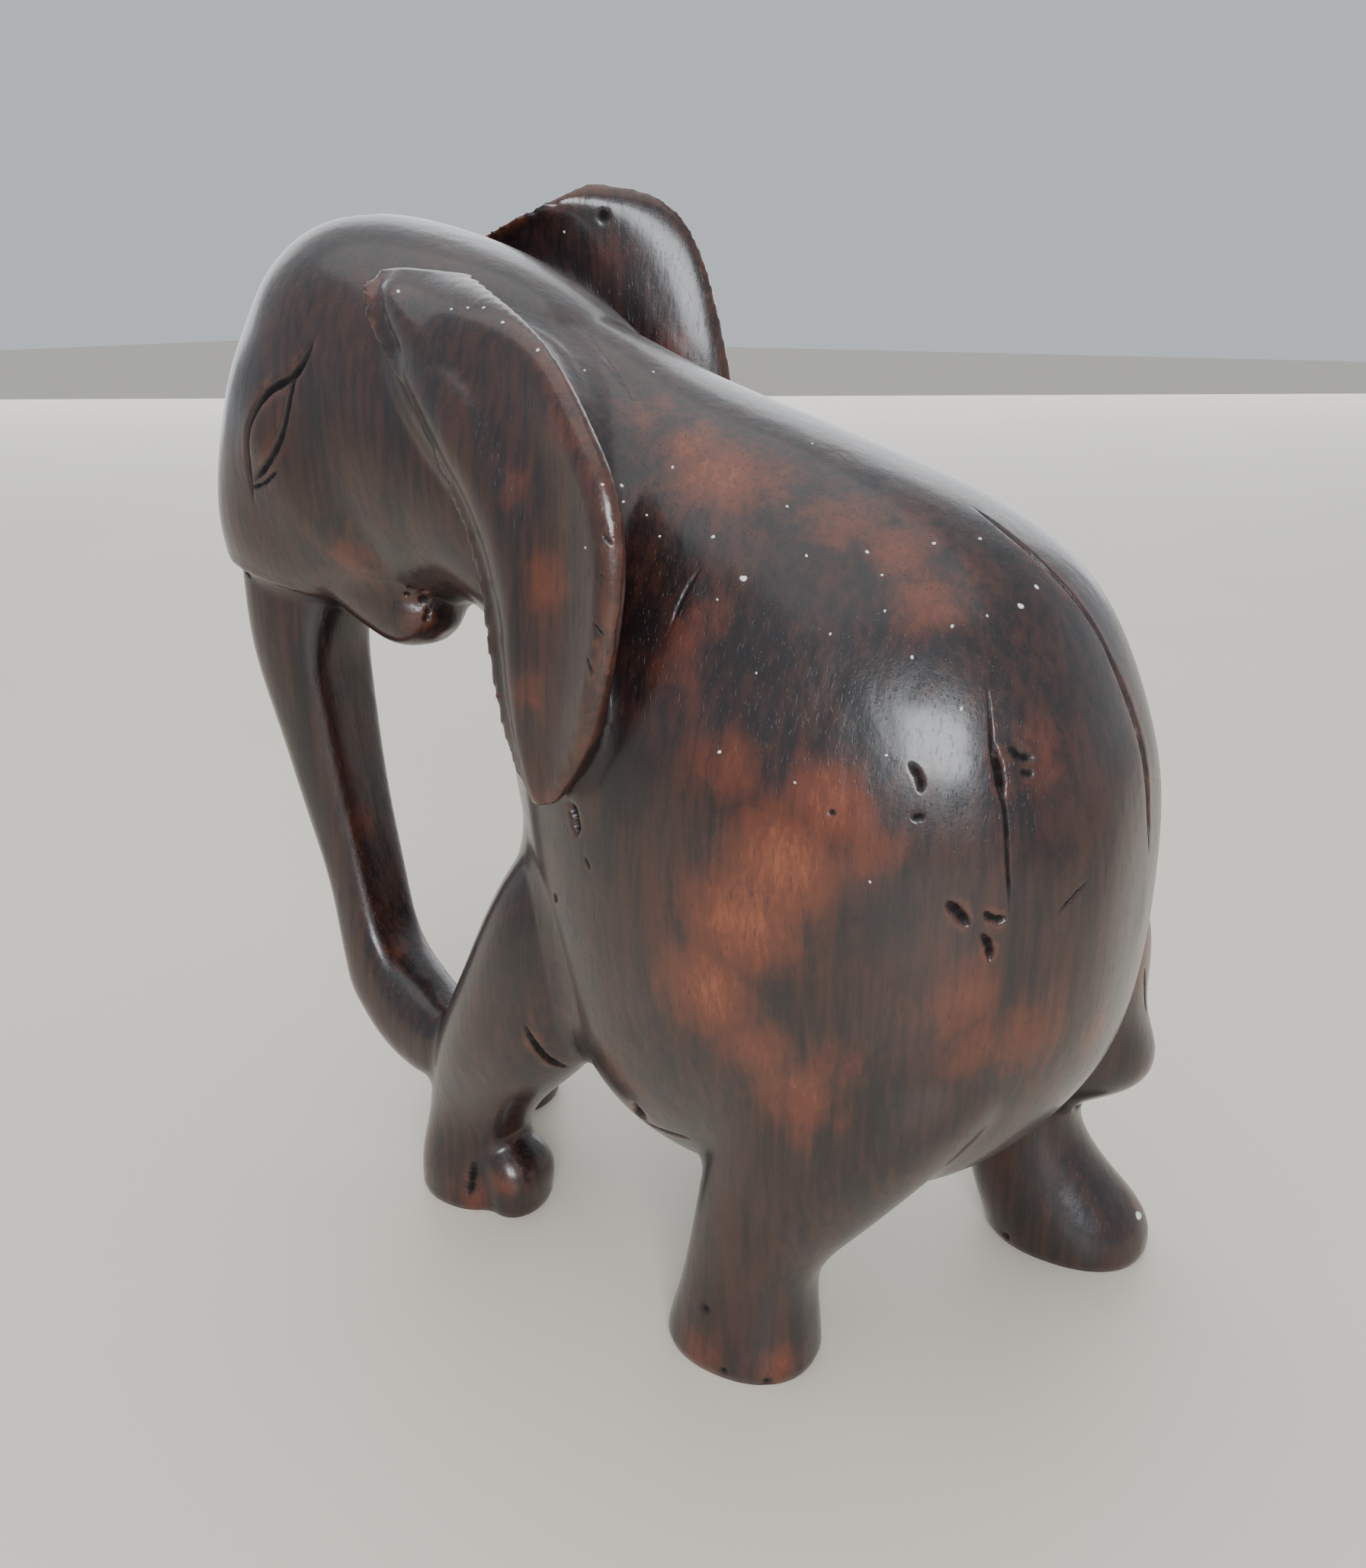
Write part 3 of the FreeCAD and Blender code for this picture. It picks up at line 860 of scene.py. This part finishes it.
# Flecks of white paint: forward, left, up, radius
FLECKS = [
    (35, 49, 219, 0.9), (130, -1, 289, 0.55), (-23, 26, 215, 0.8), (-24, 18, 218, 0.65), (10, 37, 226, 0.5),
    (45, 45, 227, 0.5), (61, 36, 241, 0.45), (-10, 18, 228, 0.5), (104, 54, 284, 0.45),
    (109, 55, 283, 0.4), (96, 58, 279, 0.5), (131, 49, 282, 0.6), (114, 53, 279, 0.4), (82, 61, 272, 0.5),
    (-2, 27, 227, 0.5), (-6, 48, 206, 0.45), (-18, 48, 196, 0.45), (31, 35, 234, 0.4), (92, 26, 260, 0.4),
    (58, 70, 241, 0.4), (71, 42, 236, 0.5), (35, 13, 246, 0.35), (144, -42, 295, 0.4), (118, -54, 294, 0.4),
    (33, 64, 182, 0.5), (64, 70, 226, 0.35), (14, 64, 178, 0.35), (-5, 64, 158, 0.35), (2, 45, 215, 0.35),
    (80, 12, 261, 0.4), (70, 43, 232, 0.4), (58, 50, 228, 0.35), (63, 47, 232, 0.35), (22, 44, 226, 0.4),
    (5, 40, 222, 0.35), (-12, 40, 212, 0.45), (-18, 34, 214, 0.35), (-5, 58, 186, 0.35),
    (-53, -52, 13, 1.6), (40, 52, 214, 0.3), (27, 58, 200, 0.3), (12, 52, 210, 0.35),
]
FLECK_RINGS = 4
FLECK_SIDES = 12


def flecks():
    """Low domes of spilt paint: height falls from the middle as the square root of 1 - radius squared."""
    block = carving()["block"]
    tree = tree_of(block)
    angle = np.linspace(0, 2 * np.pi, FLECK_SIDES, endpoint=False)
    share = np.linspace(1, 0, FLECK_RINGS, endpoint=False)
    vertices, faces = [], []
    for k, (forward, left, up, radius) in enumerate(FLECKS):
        middle, normal, _, _ = tree.find_nearest(Vector((forward, left, up)))
        across = normal.orthogonal().normalized()
        other = normal.cross(across)
        lobes = 1 + 0.16 * np.sin(2 * angle + k) + 0.08 * np.sin(3 * angle + 2 * k)
        start = len(vertices) * (FLECK_RINGS * FLECK_SIDES + 2)
        flat = share[:, None, None] * lobes[None, :, None] * radius * (
            np.cos(angle)[None, :, None] * np.array(across) + np.sin(angle)[None, :, None] * np.array(other))
        rise = (0.55 * np.sqrt(1 - share ** 2) - 0.12) * radius
        dome = (np.array(middle) + flat + rise[:, None, None] * np.array(normal)).reshape(-1, 3)
        poles = [np.array(middle) + np.array(normal) * 0.45 * radius,
                 np.array(middle) - np.array(normal) * 0.2 * radius]
        vertices.append(np.vstack([dome, poles]))
        index = np.arange(FLECK_RINGS * FLECK_SIDES).reshape(FLECK_RINGS, FLECK_SIDES) + start
        nxt = np.roll(index, -1, axis=1)
        top, base = start + FLECK_RINGS * FLECK_SIDES, start + FLECK_RINGS * FLECK_SIDES + 1
        faces += np.stack([index[:-1], nxt[:-1], nxt[1:], index[1:]], -1).reshape(-1, 4).tolist()
        faces += [[int(index[-1, s]), int(nxt[-1, s]), top] for s in range(FLECK_SIDES)]
        faces += [[int(nxt[0, s]), int(index[0, s]), base] for s in range(FLECK_SIDES)]
    mesh = bpy.data.meshes.new("paint_flecks")
    mesh.from_pydata(place(np.vstack(vertices)).tolist(), [], faces)
    mesh.polygons.foreach_set("use_smooth", np.ones(len(mesh.polygons), bool))
    mesh.update()
    piece = bpy.data.objects.new("paint_flecks", mesh)
    bpy.context.scene.collection.objects.link(piece)
    mesh.materials.append(paint_material())
    return piece


# ------------------------------------------------------------------ materials

class Wire:
    """A socket that adds Math nodes when it stands in an expression."""

    def __init__(self, bench, socket):
        self.bench = bench
        self.socket = socket

    def maths(self, operation, first, second):
        return self.bench.node("ShaderNodeMath", {"operation": operation}, {0: first, 1: second})

    def __add__(self, other):
        return self.maths("ADD", self, other)

    def __sub__(self, other):
        return self.maths("SUBTRACT", self, other)

    def __mul__(self, other):
        return self.maths("MULTIPLY", self, other)

    def __rsub__(self, other):
        return self.maths("SUBTRACT", other, self)

    __radd__ = __add__
    __rmul__ = __mul__


class Bench:
    """Builds the nodes of one material."""

    def __init__(self, name):
        self.material = bpy.data.materials.new(name)
        self.material.use_nodes = True
        self.tree = self.material.node_tree
        self.shader = self.tree.nodes["Principled BSDF"]

    def node(self, kind, settings, sockets, output=0):
        """A node with its settings made first and its sockets then set or linked."""
        made = self.tree.nodes.new(kind)
        for name, value in settings.items():
            setattr(made, name, value)
        self.fill(made, sockets)
        return Wire(self, made.outputs[output])

    def fill(self, made, sockets):
        """Values or links for a node's sockets."""
        for name, value in sockets.items():
            if isinstance(value, Wire):
                self.tree.links.new(value.socket, made.inputs[name])
            else:
                made.inputs[name].default_value = value

    def noise(self, at, size, detail=4.0, rough=0.55, distortion=0.0):
        """Soft noise from 0 to 1 with features of the given size in millimetres."""
        return self.node("ShaderNodeTexNoise", {"noise_dimensions": "3D"}, {
            "Vector": at, "Scale": 1 / (size * MM), "Detail": detail, "Roughness": rough,
            "Distortion": distortion})

    def stretched(self, at, turn, stretch):
        """Coordinates turned, then drawn out along one or more axes."""
        return self.node("ShaderNodeMapping", {"vector_type": "POINT"}, {
            "Vector": at, "Rotation": turn, "Scale": stretch})

    def between(self, value, low, high):
        """0 below low, 1 above high, smooth between."""
        return self.node("ShaderNodeMapRange", {"interpolation_type": "SMOOTHSTEP"}, {
            "Value": value, "From Min": low, "From Max": high})

    def mix(self, share, first, second, blend="MIX"):
        """One colour going over into another."""
        return self.node("ShaderNodeMix", {"data_type": "RGBA", "blend_type": blend}, {
            0: share, 6: first, 7: second}, output=2)

    def attribute(self, name):
        """A tone worked out for each vertex of the piece."""
        return self.node("ShaderNodeAttribute", {"attribute_name": name}, {}, output=2)

    def raised(self, height, distance, below=None):
        """A normal raised by a height, over another one if given."""
        sockets = {"Strength": 1.0, "Distance": distance, "Height": height}
        if below is not None:
            sockets["Normal"] = below
        return self.node("ShaderNodeBump", {}, sockets)


def wood_material():
    """Dark hardwood under stain and wax: mottled figure, drawn-out grain, pores, black stain with painted
    shade, dark cuts, worn edges.
    """
    found = bpy.data.materials.get("waxed_hardwood")
    if found:
        return found
    wood = bpy.context.scene.elephant_wood
    bench = Bench("waxed_hardwood")
    at = bench.node("ShaderNodeTexCoord", {}, {}, output=3)
    upright = bench.stretched(at, (0.10, -0.12, 0.0), (1.0, 1.0, 0.22))
    slanted = bench.stretched(at, (0.55, 0.25, 0.0), (1.0, 1.0, 0.30))
    mottle = bench.noise(upright, 17, 7, 0.62, 0.9)
    blotch = bench.noise(at, 9, 6, 0.70, 1.4)
    streak = bench.noise(bench.stretched(at, (0.06, -0.08, 0.0), (1.0, 1.0, 0.07)), 2.4, 5, 0.6, 0.2)
    hatch = bench.noise(slanted, 1.6, 3, 0.6, 0.5)
    pores = bench.noise(bench.stretched(at, (0.06, -0.08, 0.0), (1.0, 1.0, 0.16)), 0.75, 2, 0.5)
    rust = bench.attribute("rust")
    black_stain_and_shade = bench.attribute("black_stain_and_shade")
    worn = bench.attribute("worn")
    grime = bench.attribute("grime")
    cut = bench.attribute("cut")

    warm = bench.between(rust * 0.95 + mottle * 0.95 + blotch * 0.45 + streak * 0.30, 1.02, 1.62)
    dark = bench.between(black_stain_and_shade * 0.9 + blotch * 0.9 + mottle * 0.25, 0.85, 1.35)
    glow = bench.between(rust * 0.8 + hatch * 0.9 + blotch * 0.35, 1.15, 1.65)
    pore = bench.between(pores, 0.60, 0.72)

    colour = bench.mix(bench.between(streak * 0.5 + mottle * 0.5, 0.40, 0.62), wood.ebony, wood.umber)
    colour = bench.mix(warm, colour, wood.rust)
    colour = bench.mix(glow * warm, colour, wood.amber)
    # painted shade and black stain: the wood is darkened towards ebony
    colour = bench.mix(dark * 0.86, colour, wood.ebony)
    colour = bench.mix(worn * 0.45 * bench.between(blotch, 0.35, 0.65), colour, wood.rubbed)
    colour = bench.mix(pore * 0.45, colour, wood.ebony)
    colour = bench.mix(grime * 0.65, colour, wood.ebony)
    colour = bench.mix(cut * 0.95, colour, wood.soot)

    haze = bench.noise(at, 22, 4, 0.6, 0.4)
    rough = (haze * 0.16 + streak * 0.10 + pore * 0.12 + grime * 0.22 + cut * 0.45
             + (wood.wax_roughness - 0.13) - worn * 0.05)
    coat = (1 - cut) * (haze * 0.5 + 0.2) * (1 - grime * 0.6)

    tool = bench.noise(bench.stretched(at, (0.3, 0.2, 0.0), (1.0, 1.0, 0.55)), 11, 2, 0.5, 0.3)
    relief = bench.raised(tool, 0.00055)
    relief = bench.raised(streak, 0.00010, relief)
    relief = bench.raised(1 - pore, 0.00005, relief)
    relief = bench.raised(bench.noise(at, 1.1, 3, 0.6), 0.00005, relief)
    bench.fill(bench.shader, {
        "Base Color": colour, "Roughness": rough, "Coat Weight": coat, "Coat Roughness": 0.16,
        "Coat IOR": 1.48, "IOR": 1.5, "Normal": relief})
    return bench.material


def paint_material():
    """Old white wall paint, a little chalky."""
    bench = Bench("white_paint")
    at = bench.node("ShaderNodeTexCoord", {}, {}, output=3)
    chalk = bench.noise(at, 0.4, 3, 0.6)
    bench.fill(bench.shader, {
        "Base Color": bench.mix(chalk, (0.62, 0.61, 0.58, 1), (0.86, 0.86, 0.84, 1)),
        "Roughness": chalk * 0.2 + 0.5, "Normal": bench.raised(chalk, 0.00003)})
    return bench.material


def floor_material(colour):
    """A pale, softly polished table top."""
    bench = Bench("pale_table")
    at = bench.node("ShaderNodeTexCoord", {}, {}, output=3)
    cloud = bench.noise(at, 240, 3, 0.5)
    bench.fill(bench.shader, {
        "Base Color": bench.mix(cloud * 0.08, colour, (0.70, 0.60, 0.48, 1)),
        "Roughness": cloud * 0.1 + 0.42})
    return bench.material


# ------------------------------------------------------------------ settings

class ElephantWoodSettings(bpy.types.PropertyGroup):
    """Sizes and colours of the carving."""
    fineness: bpy.props.FloatProperty(
        name="Fineness", description="Distance between neighbouring vertices of the skin",
        default=0.0013, min=0.0009, max=0.003, precision=4, unit="LENGTH")
    ebony: bpy.props.FloatVectorProperty(
        name="Ebony", description="Darkest polish", size=4, subtype="COLOR",
        default=(0.0085, 0.0055, 0.0065, 1), min=0, max=1)
    umber: bpy.props.FloatVectorProperty(
        name="Umber", description="Brown ground of the stain", size=4, subtype="COLOR",
        default=(0.040, 0.014, 0.010, 1), min=0, max=1)
    rust: bpy.props.FloatVectorProperty(
        name="Rust", description="Red wood showing through the stain", size=4, subtype="COLOR",
        default=(0.115, 0.027, 0.013, 1), min=0, max=1)
    amber: bpy.props.FloatVectorProperty(
        name="Amber", description="Brightest figure inside the red wood", size=4, subtype="COLOR",
        default=(0.24, 0.066, 0.026, 1), min=0, max=1)
    rubbed: bpy.props.FloatVectorProperty(
        name="Rubbed edge", description="Wood rubbed bare along the edges", size=4, subtype="COLOR",
        default=(0.15, 0.045, 0.022, 1), min=0, max=1)
    soot: bpy.props.FloatVectorProperty(
        name="Soot", description="Dirt in the cuts", size=4, subtype="COLOR",
        default=(0.003, 0.0025, 0.003, 1), min=0, max=1)
    wax_roughness: bpy.props.FloatProperty(
        name="Wax roughness", description="How dull the waxed wood is", default=0.34, min=0.1, max=0.8,
        subtype="FACTOR")


class ElephantStageSettings(bpy.types.PropertyGroup):
    """Floor, light and camera."""
    floor_size: bpy.props.FloatProperty(
        name="Floor size", description="Side of the square floor", default=12.0, min=2.0, unit="LENGTH")
    floor_colour: bpy.props.FloatVectorProperty(
        name="Floor colour", description="Colour of the table top", size=4, subtype="COLOR",
        default=(0.80, 0.72, 0.61, 1), min=0, max=1)
    room: bpy.props.FloatProperty(
        name="Room light", description="Strength of the light from all round", default=0.65, min=0.0)
    window: bpy.props.FloatProperty(
        name="Window power", description="Power of the window", default=11.0, min=0.0, unit="POWER")
    wall: bpy.props.FloatProperty(
        name="Wall power", description="Power of the pale panel behind the figure", default=75.0, min=0.0,
        unit="POWER")
    ceiling: bpy.props.FloatProperty(
        name="Ceiling power", description="Power of the soft panel above", default=4.5, min=0.0,
        unit="POWER")


# ------------------------------------------------------------------ operators

def stand_for(piece, *nodes):
    """Ride the piece on the figure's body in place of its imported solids."""
    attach(piece, REST)
    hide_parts(*nodes)


class ELEPHANT_OT_torso(bpy.types.Operator):
    """Carve the barrel-shaped torso with its drying checks, knots and belly chip"""
    bl_idname = "elephant.torso"
    bl_label = "Torso"

    def execute(self, context):
        stand_for(piece_of("torso_wood", "torso"), "torso")
        return {"FINISHED"}


class ELEPHANT_OT_head(bpy.types.Operator):
    """Carve the bowed head with its eyes, and the lower jaw"""
    bl_idname = "elephant.head"
    bl_label = "Head and jaw"

    def execute(self, context):
        stand_for(piece_of("head_wood", "head"), "head")
        stand_for(piece_of("lower_jaw_wood", "lower_jaw"), "lower_jaw")
        return {"FINISHED"}


class ELEPHANT_OT_trunk(bpy.types.Operator):
    """Carve the trunk that curls back to the left knee"""
    bl_idname = "elephant.trunk"
    bl_label = "Trunk"

    def execute(self, context):
        stand_for(piece_of("trunk_wood", "trunk"), "trunk")
        return {"FINISHED"}


class ELEPHANT_OT_ears(bpy.types.Operator):
    """Carve both ears"""
    bl_idname = "elephant.ears"
    bl_label = "Ears"

    def execute(self, context):
        stand_for(piece_of("left_ear_wood", "left_ear"), "left_ear")
        stand_for(piece_of("right_ear_wood", "right_ear"), "right_ear")
        return {"FINISHED"}


class ELEPHANT_OT_legs(bpy.types.Operator):
    """Carve the four striding legs"""
    bl_idname = "elephant.legs"
    bl_label = "Legs"

    def execute(self, context):
        stand_for(piece_of("left_front_leg_wood", "left_front_leg"), "left_front_leg")
        stand_for(piece_of("right_front_leg_wood", "right_front_leg"), "right_front_leg")
        stand_for(piece_of("left_hind_leg_wood", "left_hind_leg"), "left_hind_leg")
        stand_for(piece_of("right_hind_leg_wood", "right_hind_leg"), "right_hind_leg")
        return {"FINISHED"}


class ELEPHANT_OT_flecks(bpy.types.Operator):
    """Spatter the back with flecks of white paint"""
    bl_idname = "elephant.flecks"
    bl_label = "Paint flecks"

    def execute(self, context):
        piece = flecks()
        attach(piece, REST)
        return {"FINISHED"}


def panel_light(name, at, aim, size, power, colour):
    """A soft rectangular light that the camera doesn't see."""
    light = bpy.data.lights.new(name, "AREA")
    light.shape = "RECTANGLE"
    light.size, light.size_y = size
    light.energy = power
    light.color = colour
    lamp = bpy.data.objects.new(name, light)
    bpy.context.scene.collection.objects.link(lamp)
    lamp.location = place(np.array(at, float))
    aim = Vector(place(np.array(aim, float)))
    lamp.rotation_euler = (aim - lamp.location).to_track_quat("-Z", "Y").to_euler()
    lamp.visible_camera = False


CAMERA_AT = (-105.6, 318.9, 280.0)
CAMERA_AZIMUTH = 120.0
CAMERA_PITCH = -20.0
CAMERA_LENS = 35.96


class ELEPHANT_OT_stage(bpy.types.Operator):
    """Lay the pale floor, hang the lights and set up the camera"""
    bl_idname = "elephant.stage"
    bl_label = "Stage"

    def execute(self, context):
        stage = context.scene.elephant_stage
        half = stage.floor_size / 2
        mesh = bpy.data.meshes.new("floor")
        mesh.from_pydata([(-half, -half, 0), (half, -half, 0), (half, half, 0), (-half, half, 0)],
                         [], [(0, 1, 2, 3)])
        mesh.materials.append(floor_material(stage.floor_colour))
        floor = bpy.data.objects.new("floor", mesh)
        context.scene.collection.objects.link(floor)

        world = bpy.data.worlds.new("room")
        world.use_nodes = True
        background = world.node_tree.nodes["Background"]
        background.inputs["Color"].default_value = (0.88, 0.94, 1.0, 1)
        background.inputs["Strength"].default_value = stage.room
        context.scene.world = world
        panel_light("window", (-530, 920, 615), (-15, 53, 189), (0.50, 0.38), stage.window,
                    (0.90, 0.95, 1.0))
        panel_light("wall", (1800, -2650, 1100), (60, 0, 160), (5.5, 2.6), stage.wall, (0.95, 0.98, 1.0))
        panel_light("ceiling", (150, 100, 1150), (60, 0, 150), (1.2, 1.2), stage.ceiling,
                    (1.0, 0.98, 0.95))

        lens = bpy.data.cameras.new("camera")
        lens.sensor_fit = "HORIZONTAL"
        lens.sensor_width = 36
        lens.lens = CAMERA_LENS
        lens.dof.use_dof = False
        camera = bpy.data.objects.new("camera", lens)
        context.scene.collection.objects.link(camera)
        camera.location = place(np.array(CAMERA_AT))
        azimuth, pitch = np.radians(CAMERA_AZIMUTH), np.radians(CAMERA_PITCH)
        look = Vector((-np.sin(azimuth) * np.cos(pitch), np.cos(azimuth) * np.cos(pitch), np.sin(pitch)))
        camera.rotation_euler = look.to_track_quat("-Z", "Y").to_euler()
        context.scene.camera = camera
        return {"FINISHED"}


OPERATORS = (ELEPHANT_OT_torso, ELEPHANT_OT_head, ELEPHANT_OT_trunk, ELEPHANT_OT_ears,
             ELEPHANT_OT_legs, ELEPHANT_OT_flecks, ELEPHANT_OT_stage)


class ELEPHANT_PT_sidebar(bpy.types.Panel):
    """Lists the elephant's settings and pieces in the sidebar"""
    bl_idname = "ELEPHANT_PT_sidebar"
    bl_label = "Carved Wooden Elephant"
    bl_space_type = "VIEW_3D"
    bl_region_type = "UI"
    bl_category = "Elephant"

    def draw(self, context):
        for settings in (context.scene.elephant_wood, context.scene.elephant_stage):
            column = self.layout.column()
            for name in settings.__annotations__:
                column.prop(settings, name)
        for operator in OPERATORS:
            self.layout.operator(operator.bl_idname)


CLASSES = (ElephantWoodSettings, ElephantStageSettings) + OPERATORS + (ELEPHANT_PT_sidebar,)


def register():
    for cls in CLASSES:
        bpy.utils.register_class(cls)
    bpy.types.Scene.elephant_wood = bpy.props.PointerProperty(type=ElephantWoodSettings)
    bpy.types.Scene.elephant_stage = bpy.props.PointerProperty(type=ElephantStageSettings)


def unregister():
    del bpy.types.Scene.elephant_stage
    del bpy.types.Scene.elephant_wood
    for cls in reversed(CLASSES):
        bpy.utils.unregister_class(cls)


def main():
    """Register the add-on and make every piece in order."""
    register()
    bpy.ops.elephant.torso()
    bpy.ops.elephant.head()
    bpy.ops.elephant.trunk()
    bpy.ops.elephant.ears()
    bpy.ops.elephant.legs()
    bpy.ops.elephant.flecks()
    bpy.ops.elephant.stage()


if __name__ == "__main__":
    main()
